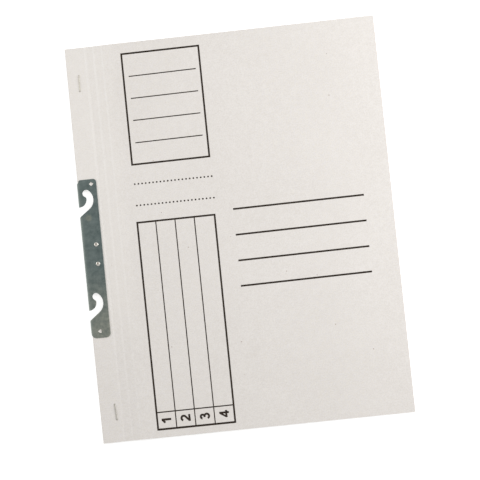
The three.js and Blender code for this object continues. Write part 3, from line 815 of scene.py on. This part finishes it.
def make_plate_finish():
    """Cold grey-green coating, warmer at the lower end, with a painted reflection
    paler towards the fold, and one smudge between the upper slot and the rivets"""
    material, tree, shader = new_material("plate_coated_steel")
    place = object_place(tree)
    grain = add_grain(tree, place, 1.5)
    across, along = add_node(tree, "SeparateXYZ", in_0=place).outputs[:2]
    cold = mixed(tree, grain["Blotch"], (0.095, 0.13, 0.127, 1), (0.157, 0.196, 0.19, 1))
    warm = mixed(tree, grain["Blotch"], (0.22, 0.234, 0.2, 1), (0.3, 0.312, 0.262, 1))
    lower_end = spread(tree, along, -18 * MM, -66 * MM)
    lower_end = times(tree, lower_end, spread(tree, grain["Blotch"], 0, 1, 0.6, 1.0))
    tone = mixed(tree, lower_end, cold, warm)
    # Painted reflection: paler towards the fold, where the rounded steel faces the pale room at a
    # grazing angle
    edge = spread(tree, across, (SPINE_X - 0.1) * MM, (SPINE_X + 2.3) * MM, 1, 0)
    painted_highlight = times(tree, math_node(tree, "POWER", edge, 2.0), 0.48)
    painted_pale = spread(tree, across, SPINE_X * MM, (SPINE_X + 12) * MM, 0.08, 0)
    tone = mixed(tree, plus(tree, painted_highlight, painted_pale), tone, (0.28, 0.32, 0.29, 1))
    smudge_place = Vector((SPINE_X + 5.6, 20.6, PLATE_TOP)) * MM
    off = add_node(
        tree, "VectorMath", operation="DISTANCE", in_0=place, in_1=smudge_place
    ).outputs["Value"]
    smudge = times(tree, spread(tree, off, 0, 3.4 * MM, 1.2, 0), grain["Blotch"])
    tone = mixed(tree, smudge, tone, (0.3, 0.31, 0.245, 1))
    tone = mixed(tree, times(tree, grain["Pit"], 0.35), tone, (0.06, 0.075, 0.075, 1))
    tree.links.new(tone, shader.inputs["Base Color"])
    shader.inputs["Metallic"].default_value = 0.4
    tree.links.new(spread(tree, grain["Blotch"], 0, 1, 0.46, 0.6), shader.inputs["Roughness"])
    add_bump(tree, shader, grain["Grain"], 0.12, 0.01)
    return material


def bright_steel(name, pale, dark, metallic, rough_low, rough_high, blotch_size):
    """Zinc or nickel plated steel"""
    material, tree, shader = new_material(name)
    grain = add_grain(tree, object_place(tree), blotch_size)
    tree.links.new(mixed(tree, grain["Blotch"], dark, pale), shader.inputs["Base Color"])
    shader.inputs["Metallic"].default_value = metallic
    rough = spread(tree, grain["Grain"], 0, 1, rough_low, rough_high)
    tree.links.new(rough, shader.inputs["Roughness"])
    add_bump(tree, shader, grain["Grain"], 0.2, 0.01)
    return material


plate_finish = make_plate_finish()
# Pale bare steel on the walls of the punched holes: partly the cut steel's own colour, partly painted
# light, so that the board seen through the holes looks less shaded
punch_wall_painted_pale = bright_steel(
    "plate_punch_wall_painted_pale", (0.94, 0.93, 0.9, 1), (0.8, 0.79, 0.76, 1), 0.35, 0.35, 0.55, 0.5
)
give_finish(hook_plate, plate_finish, punch_wall_painted_pale)
# Only the walls of the two punched holes get the pale, painted-light steel
for face in hook_plate.data.polygons:
    place = face.center / MM - Vector((SPINE_X, 0, 0))
    near_punch = min(abs(place.y - SQUARE_Y), abs(place.y - DART_Y)) < 2 and 3 < place.x < 12.6
    on_wall = plate_fold < place.z < TOP_EDGE - 0.1 and abs(face.normal.z) < 0.2
    if near_punch and on_wall:
        face.material_index = 1
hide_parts("hook_plate")
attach(hook_plate, "folder_back")

# Rivets
# Two semi-tubular rivets of plated steel. Each has a low rolled head on the
# plate with its bore open at the top, and is set against the back of the board.
rivet_finish = bright_steel(
    "rivet_plated_steel", (0.93, 0.91, 0.86, 1), (0.72, 0.7, 0.64, 1), 0.75, 0.2, 0.34, 0.4
)
# The bore is painted darker, warmer and duller than the head: painted shade in the recess
bore_painted_shade = bright_steel(
    "rivet_bore_painted_shade", (0.82, 0.77, 0.69, 1), (0.64, 0.58, 0.51, 1), 0.4, 0.45, 0.65, 0.4
)
HEAD_TOP = PLATE_TOP + 0.55
RIVET_LOW, REAR_RIM, SHANK, HEAD_RIM = 0.06, 1.7, 1.1, 1.65
ROLL_OUT, ROLL_IN = 0.36, 0.3  # heights of the head's outer and inner rounding
BORE_DEPTH, BORE_REACH = 1.5, 1.3
BORE_SHIFT = Vector((-0.22, 0.16, 0)) * MM  # set a little off centre
rivet_section = [
    (0, RIVET_LOW),
    (1.45, RIVET_LOW),
    (REAR_RIM, 0.28),
    (REAR_RIM, MARGIN_LOW),
    (SHANK, MARGIN_LOW),
    (SHANK, PLATE_TOP),
    (HEAD_RIM, PLATE_TOP),
    (HEAD_RIM, PLATE_TOP + 0.12),
]
for step in range(1, 9):
    turn = math.radians(10 + 80 * step / 8)
    height = HEAD_TOP - ROLL_OUT + ROLL_OUT * math.sin(turn)
    rivet_section.append((1.05 + 0.6 * math.cos(turn), height))
for step in range(1, 7):
    turn = math.radians(90 * step / 6)
    height = HEAD_TOP - ROLL_IN + ROLL_IN * math.cos(turn)
    rivet_section.append((0.9 - 0.3 * math.sin(turn), height))
BORE_LOW = HEAD_TOP - BORE_DEPTH
rivet_section += [(0.56, BORE_LOW + 0.15), (0.3, BORE_LOW), (0, BORE_LOW)]
for name, y in (("rivet_upper", RIVET_YS[0]), ("rivet_lower", RIVET_YS[1])):
    middle = Vector((SPINE_X + RIVET_X, y, 0)) * MM
    corners = [middle + Vector((r, 0, z)) * MM for r, z in rivet_section]
    rivet = one_vertex(name + "_turned", corners[0])
    for here, there in zip(corners, corners[1:]):
        extrude_by(there - here)
    select_points()
    bpy.ops.mesh.spin(steps=48, angle=math.tau, center=middle, axis=(0, 0, 1))
    weld()
    face_outwards()
    for vertex in rivet.data.vertices:
        off = vertex.co - middle
        share = min((BORE_REACH - off.xy.length / MM) / 0.6, 1)
        if share > 0 and off.z > (BORE_LOW - 0.05) * MM:
            vertex.co += BORE_SHIFT * share
    finish_mesh(rivet, 40)
    give_finish(rivet, rivet_finish, bore_painted_shade)
    # Faces inside the bore take the painted shade
    for face in rivet.data.polygons:
        off = (face.center - middle) / MM
        in_bore = 1 < off.z < HEAD_TOP - 0.12 and (off - BORE_SHIFT / MM).xy.length < 0.68
        face.material_index = 1 if in_bore else 0
    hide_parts(name)
    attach(rivet, "folder_back")

# Staples
# Two wire staples through the margin, one near each end. The crown lies on the
# front; the legs are clinched inwards under the back margin.
wire_finishes = [
    bright_steel("staple_zinc_wire", (0.93, 0.9, 0.8, 1), (0.72, 0.69, 0.6, 1), 0.6, 0.34, 0.5, 0.5),
    bright_steel(
        "staple_dull_wire", (0.8, 0.78, 0.71, 1), (0.58, 0.56, 0.5, 1), 0.75, 0.3, 0.46, 0.5
    ),
]
WIRE_WIDTH, WIRE_HEIGHT, WIRE_BEND = 0.65, 0.5, 0.55
LEG_GAP = 1.1


def bent_strip(corners, radius, thickness, steps, inner_steps):
    """Outline of a strip bent square to its left at each corner: its outer side
    along the corners, then its inner side back"""
    corners = [Vector(corner) for corner in corners]
    ways = [(b - a).normalized() for a, b in zip(corners, corners[1:])]
    low, high = ways[0].orthogonal() * thickness, ways[-1].orthogonal() * thickness
    outer, inner = [corners[0]], [corners[0] + low]
    for corner, into, onward in zip(corners[1:], ways, ways[1:]):
        middle = corner + (onward - into) * radius
        outer += [corner - into * radius, (*middle, 90, steps)]
        inner = [middle + into * (radius - thickness), (*middle, -90, inner_steps)] + inner
    return outer + [corners[-1], corners[-1] + high] + inner


staple_corners = [
    (LEG_GAP, 0),
    (STAPLE_HALF, 0),
    (STAPLE_HALF, PLATE_TOP),
    (-STAPLE_HALF, PLATE_TOP),
    (-STAPLE_HALF, 0),
    (-LEG_GAP, 0),
]
staple_moves = bent_strip(staple_corners, WIRE_BEND, WIRE_HEIGHT, 6, 6)
names = ("staple_top", "staple_bottom")
for name, wire_finish, (x, y, turn) in zip(names, wire_finishes, STAPLES):
    staple = drawn_solid(name + "_wire", "YZ", staple_moves, -WIRE_WIDTH / 2, WIRE_WIDTH / 2)
    at_corners = {"limit_method": "ANGLE", "angle_limit": math.radians(50)}
    apply_modifier(staple, "BEVEL", width=0.14 * MM, segments=3, **at_corners)
    spine = Matrix.Translation((SPINE_X * MM, 0, 0))
    placed = Matrix.Translation(((SPINE_X + x) * MM, y * MM, 0))
    turned = Matrix.Rotation(math.radians(turn), 4, "Z")
    staple.data.transform(placed @ turned @ spine.inverted())
    finish_mesh(staple, 40)
    give_finish(staple, wire_finish)
    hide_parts(name)
    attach(staple, "folder_back")

# Fastener base
# A thin strip of plated soft steel under the binding strip. Its two tongues,
# 80 mm apart, come up through the slits and lie folded towards each other.
fastener_finish = bright_steel(
    "fastener_nickel_steel", (0.76, 0.76, 0.74, 1), (0.58, 0.585, 0.58, 1), 0.95, 0.22, 0.36, 1.2
)
BASE_HALF, BASE_WIDTH, BASE_CORNER = 38.5, 10, 2
TONGUE_WIDTH = 6
TONGUE_TOP = 1.8
TONGUE_BEND = 0.6
TONGUE_ROOT = 20
TIP_GAP, TIP_CORNER = 2.5, 2.9
reach = TONGUE_SPACING / 2
tongue_corners = [(TONGUE_ROOT, BOARD), (reach, BOARD), (reach, TONGUE_TOP), (TIP_GAP, TONGUE_TOP)]
tongue_moves = bent_strip(tongue_corners, TONGUE_BEND, BASE_STEEL, 8, 8)
under_tip = 2 * len(tongue_corners) - 2  # drawn from here, so that its tip cuts cleanly
tongue_moves = tongue_moves[under_tip:] + tongue_moves[:under_tip]
left, right = HOLE_LINE - TONGUE_WIDTH / 2, HOLE_LINE + TONGUE_WIDTH / 2
tongue = drawn_solid("tongue", "YZ", tongue_moves, left, right)
rounded_tip = rounded_plan("tip", left, right, TIP_GAP, 90, TIP_CORNER, TIP_CORNER, 1.3, 3)
tip_block = box_cutter(HOLE_LINE, TIP_GAP + 1.5, 8, 3, 1.3, 3)
cut(tip_block, rounded_tip)
cut(tongue, tip_block)
other = tongue.copy()
other.data = tongue.data.copy()
bpy.context.collection.objects.link(other)
other.data.transform(Matrix.Scale(-1, 4, (0, 1, 0)))
make_active(other)
set_mode("EDIT")
face_outwards()
left, right = HOLE_LINE - BASE_WIDTH / 2, HOLE_LINE + BASE_WIDTH / 2
corners, heights = (BASE_CORNER, BASE_CORNER), (BOARD, BASE_TOP - 0.004)
base = rounded_plan("fastener_base_formed", left, right, -BASE_HALF, BASE_HALF, *corners, *heights, 6)
make_active(base)
tongue.select_set(True)
other.select_set(True)
bpy.ops.object.join()
finish_mesh(base, 32)
give_finish(base, fastener_finish)
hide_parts("fastener_base")
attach(base, "folder_back")

# Cover bar
# A shallow channel of plated steel with its two long edges rolled inwards and
# its ends rounded. The tongues pass its two holes and lie in the channel.
BAR_STEEL = 0.35
BAR_TOP = STRIP_TOP + 1
BAR_WIDTH, BAR_HALF, BAR_CORNER = 12, 52, 4.5
BAR_BEND, BAR_ROLL = 0.45, 0.9
BAR_HOLE_WIDTH, BAR_HOLE_LENGTH = 7.4, 3
left, right = HOLE_LINE - BAR_WIDTH / 2, HOLE_LINE + BAR_WIDTH / 2
bar_corners = [
    (left + BAR_ROLL, BAR_TOP),
    (left, BAR_TOP),
    (left, STRIP_TOP),
    (right, STRIP_TOP),
    (right, BAR_TOP),
    (right - BAR_ROLL, BAR_TOP),
]
bar_moves = bent_strip(bar_corners, BAR_BEND, BAR_STEEL, 6, 4)
cover_bar = drawn_solid("cover_bar_channel", "XZ", bar_moves, -BAR_HALF, BAR_HALF)
bar_plan = rounded_plan("plan", left, right, -BAR_HALF, BAR_HALF, BAR_CORNER, BAR_CORNER, 0, 4, 12)
cut(cover_bar, bar_plan, "INTERSECT")
left, right = HOLE_LINE - BAR_HOLE_WIDTH / 2, HOLE_LINE + BAR_HOLE_WIDTH / 2
for side in (1, -1):
    low = side * (TONGUE_SPACING - BASE_STEEL) / 2 - BAR_HOLE_LENGTH / 2
    hole = rounded_plan("hole", left, right, low, low + BAR_HOLE_LENGTH, 0.6, 0.6, 0, 4, 5)
    cut(cover_bar, hole)
finish_mesh(cover_bar, 32)
give_finish(cover_bar, fastener_finish)
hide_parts("cover_bar")
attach(cover_bar, "folder_back")

# Printed form
# One pass of dark brown-black ink on the front cover: two ruled boxes, dotted
# and solid writing lines and the numerals 1 to 4. The ink lies on the board.
INK, INK_STEP = 0.02, 0.001  # over the board, and over the shape laid before, mm
OVER_BOARD = 3.4  # shapes start at this height and are laid down from it, mm
BOLD_RULE, FINE_RULE = 1.4, 0.83
ink_finish, tree, shader = new_material("printing_ink")
soak = noise(tree, object_place(tree), 900, 3, 0.6)[0]
fresh, soaked = (0.014, 0.009, 0.006, 1), (0.05, 0.034, 0.022, 1)
ink_tone = mixed(tree, spread(tree, soak, 0.35, 0.7), fresh, soaked)
tree.links.new(ink_tone, shader.inputs["Base Color"])
tree.links.new(spread(tree, soak, 0.3, 0.7, 0.62, 0.8), shader.inputs["Roughness"])
shader.inputs["Specular IOR Level"].default_value = 0.3


def on_form(x, y):
    """A place over the printed form, mm from the folder's left and top edges"""
    return Vector((SPINE_X + x, half - y, OVER_BOARD)) * MM


def ink_line(x1, y1, x2, y2, weight):
    """A printed rule between two places"""
    alone()
    length = math.hypot(x2 - x1, y2 - y1)
    bpy.ops.mesh.primitive_plane_add(size=1)
    line = bpy.context.object
    line.data.transform(Matrix.Diagonal((length * MM, weight * MM, 1, 1)))
    turn = math.atan2(y1 - y2, x2 - x1)
    middle = on_form((x1 + x2) / 2, (y1 + y2) / 2)
    line.data.transform(Matrix.Translation(middle) @ Matrix.Rotation(turn, 4, "Z"))
    pick_edges(line, lambda a, b: (a - b).length > 2 * weight)
    bpy.ops.mesh.subdivide(number_cuts=max(1, round(length / 6)))
    set_mode("OBJECT")
    return line


def ink_frame(corners, weight):
    """Four rules that meet in square corners"""
    lines = []
    for (x1, y1), (x2, y2) in zip(corners, corners[1:] + corners[:1]):
        over = weight / 2 / math.hypot(x2 - x1, y2 - y1)
        dx, dy = (x2 - x1) * over, (y2 - y1) * over
        lines.append(ink_line(x1 - dx, y1 - dy, x2 + dx, y2 + dy, weight))
    return lines


def ink_disc(x, y, radius, sides, turn=0, stretch=(1, 1, 1)):
    """A printed dot or a fleck"""
    alone()
    bpy.ops.mesh.primitive_circle_add(
        vertices=sides,
        radius=radius * MM,
        fill_type="NGON",
        location=on_form(x, y),
        rotation=(0, 0, math.radians(turn)),
    )
    bpy.context.object.scale = stretch
    bpy.ops.object.transform_apply(location=True, rotation=True, scale=True)
    return bpy.context.object


def ink_arc(x, y, radius, start, sweep, weight):
    """Part of a printed ring; turns run clockwise on the sheet, from its right"""
    start = math.radians(start)
    middle = on_form(x, y)
    out = Vector((math.cos(start), -math.sin(start), 0)) * MM
    arc = one_vertex("arc", middle + out * (radius - weight / 2))
    extrude_by(out * weight)
    select_points()
    bpy.ops.mesh.spin(steps=20, angle=math.radians(sweep), center=middle, axis=(0, 0, 1))
    set_mode("OBJECT")
    return arc


def lay_ink(name, shapes, finish=ink_finish):
    """Lays flat shapes on the board, each a hair above the last so that no two
    share a face where they cross, joins them and gives them their thickness"""
    for step, shape in enumerate(shapes):
        apply_modifier(
            shape,
            "SHRINKWRAP",
            target=front_board,
            wrap_method="PROJECT",
            use_project_z=True,
            use_negative_direction=True,
            use_positive_direction=False,
            offset=(INK + INK_STEP * step) * MM,
        )
    make_active(shapes[0])
    for shape in shapes[1:]:
        shape.select_set(True)
    if len(shapes) > 1:
        bpy.ops.object.join()
    ink = bpy.context.object
    ink.name = name
    apply_modifier(ink, "SOLIDIFY", thickness=(INK + 0.01) * MM, offset=-1)
    give_finish(ink, finish)
    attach(ink, "front_cover")


# Every rule is given by its two ends, since the form is printed slightly askew.
box_corners = [(43.6, 8.5), (103.5, 8.1), (103.4, 94.3), (43.5, 94.6)]
address = ink_frame(box_corners, BOLD_RULE)
for left_y, right_y in ((26.3, 25.6), (43.45, 42.9), (60.6, 60.1), (77.95, 77.4)):
    address.append(ink_line(47.7, left_y, 99.9, right_y, FINE_RULE))
lay_ink("print_address_box", address)

index_corners = [(42.95, 139.5), (102.8, 139.4), (102.45, 298.9), (43.1, 298.85)]
table_form = ink_frame(index_corners, BOLD_RULE)
for top_x, low_x in ((57.2, 57.5), (72.1, 72.25), (87.0, 87.1)):
    table_form.append(ink_line(top_x, 139.5, low_x, 298.9, FINE_RULE))
table_form.append(ink_line(43.1, 285.9, 102.5, 285.75, FINE_RULE + 0.1))
table_form.append(ink_line(43.1, 299.0, 102.45, 299.0, BOLD_RULE))
lay_ink("print_index_table", table_form)

rules = []
for left_y, right_y in ((136.6, 136.0), (156.5, 155.75), (176.35, 175.6), (195.95, 195.15)):
    rules.append(ink_line(117.4, left_y, 218.4, right_y, BOLD_RULE))
lay_ink("print_writing_lines", rules)

dot_rows = []
DOT_COUNT, DOT_RADIUS = 22, 0.68
DOTS_LEFT, DOTS_LENGTH = 44, 59.65
for y in (109.7, 126.3):
    row = ink_disc(DOTS_LEFT, y, DOT_RADIUS, 12)
    apply_modifier(
        row,
        "ARRAY",
        count=DOT_COUNT,
        use_relative_offset=False,
        use_constant_offset=True,
        constant_offset_displace=(DOTS_LENGTH / (DOT_COUNT - 1) * MM, 0, 0),
    )
    dot_rows.append(row)
lay_ink("print_dotted_lines", dot_rows)

# The figures read up the sheet and are drawn stroke by stroke, as plain
# heavy type.
STROKE = 1.55
figures = [
    ink_line(46.45, 291.7, 53.85, 291.7, STROKE + 0.15),
    ink_line(47.0, 291.8, 49.15, 294.15, STROKE),
    ink_arc(63.5, 292.0, 1.75, 109, 207, STROKE),
    ink_line(64.7, 290.7, 68.0, 294.3, STROKE),
    ink_line(68.0, 294.6, 67.85, 289.4, STROKE),
    ink_arc(78.0, 292.3, 1.45, 100, 255, STROKE),
    ink_arc(81.2, 292.2, 1.75, 180, 250, STROKE),
    ink_line(79.45, 291.9, 79.45, 292.9, STROKE),
    ink_line(90.9, 290.85, 98.35, 290.85, STROKE),
    ink_line(96.25, 289.1, 96.25, 294.6, STROKE),
    ink_line(91.4, 291.0, 96.2, 294.1, STROKE - 0.15),
]
lay_ink("print_numerals", figures)

# Bark flecks
# A few dark flecks of the pulp that show in the face of the front cover. They
# are laid on it as the print is.
FLECK_TONES = ((0.3, 0.22, 0.16, 1), (0.2, 0.14, 0.1, 1), (0.1, 0.07, 0.05, 1))
fleck_finish = board_material("bark_fleck", *FLECK_TONES, share=1.0, bump=0.3, bends=False)
flecks = []
for x, y, size, turn in ((62.3, 133.5, 0.5, 20), (201.2, 24.8, 0.5, 70), (176.3, 193.4, 0.6, 110)):
    flecks.append(ink_disc(x, y, size / 2, 7, turn, (1.5, 0.8, 1)))
lay_ink("bark_flecks", flecks, fleck_finish)


def blend_at(board):
    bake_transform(board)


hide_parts("spine_margin")
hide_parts("back_cover")
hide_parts("cover_strip_1", "cover_strip_2")
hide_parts("cover_panel")
blend_at(spine_board)
blend_at(crease_board)
blend_at(front_board)

# Studio
# A plain white table top, a broad soft lamp at the right, a weak one at the
# left and a pale room. The camera looks down on the folder as in the photograph.
alone()
bpy.ops.mesh.primitive_plane_add(size=6, location=(0, 0, -0.00005))
floor = bpy.context.object
floor.name = "table_top"
floor_finish, tree, shader = new_material("white_table_top")
shader.inputs["Base Color"].default_value = (0.86, 0.86, 0.86, 1)
shader.inputs["Roughness"].default_value = 0.7
seen = add_node(tree, "LightPath").outputs
mirrored = math_node(tree, "MAXIMUM", seen["Is Glossy Ray"], seen["Is Transmission Ray"])
seen_by = math_node(tree, "MAXIMUM", seen["Is Camera Ray"], mirrored)
glow = add_node(tree, "Emission", in_Color=(1, 1, 1, 1), in_Strength=times(tree, seen_by, 0.55))
summed = add_node(tree, "AddShader", in_0=shader.outputs[0], in_1=glow.outputs[0])
tree.links.new(summed.outputs[0], tree.nodes["Material Output"].inputs["Surface"])
give_finish(floor, floor_finish)

for name, lamp_place, energy in (
    ("broad_lamp", Vector((0.665, 0.19, 0.45)), 4.8),
    ("weak_lamp", Vector((-0.75, 0.18, 0.35)), 2.3),
):
    lamp_data = bpy.data.lights.new(name, "AREA")
    lamp_data.shape = "SQUARE"
    lamp_data.size = 0.5
    lamp_data.energy = energy
    lamp = bpy.data.objects.new(name, lamp_data)
    bpy.context.collection.objects.link(lamp)
    aim = (-lamp_place).to_track_quat("-Z", "Y")
    lamp.matrix_world = Matrix.Translation(lamp_place) @ aim.to_matrix().to_4x4()

room = bpy.data.worlds.new("pale_room")
bpy.context.scene.world = room
room.use_nodes = True
background = room.node_tree.nodes["Background"]
background.inputs["Color"].default_value = (1, 0.99, 0.975, 1)
background.inputs["Strength"].default_value = 0.48

camera_data = bpy.data.cameras.new("camera")
camera_data.lens = 85
camera_data.sensor_width = 36
camera = bpy.data.objects.new("camera", camera_data)
bpy.context.collection.objects.link(camera)
camera_turn = Vector((0.02689, 0.02508, -0.10297))
camera.matrix_world = Matrix.Translation((0.0211, -0.0328, 0.8721)) @ Matrix.Rotation(
    camera_turn.length, 4, camera_turn.normalized()
)
bpy.context.scene.camera = camera
bpy.context.scene.view_settings.view_transform = "Standard"
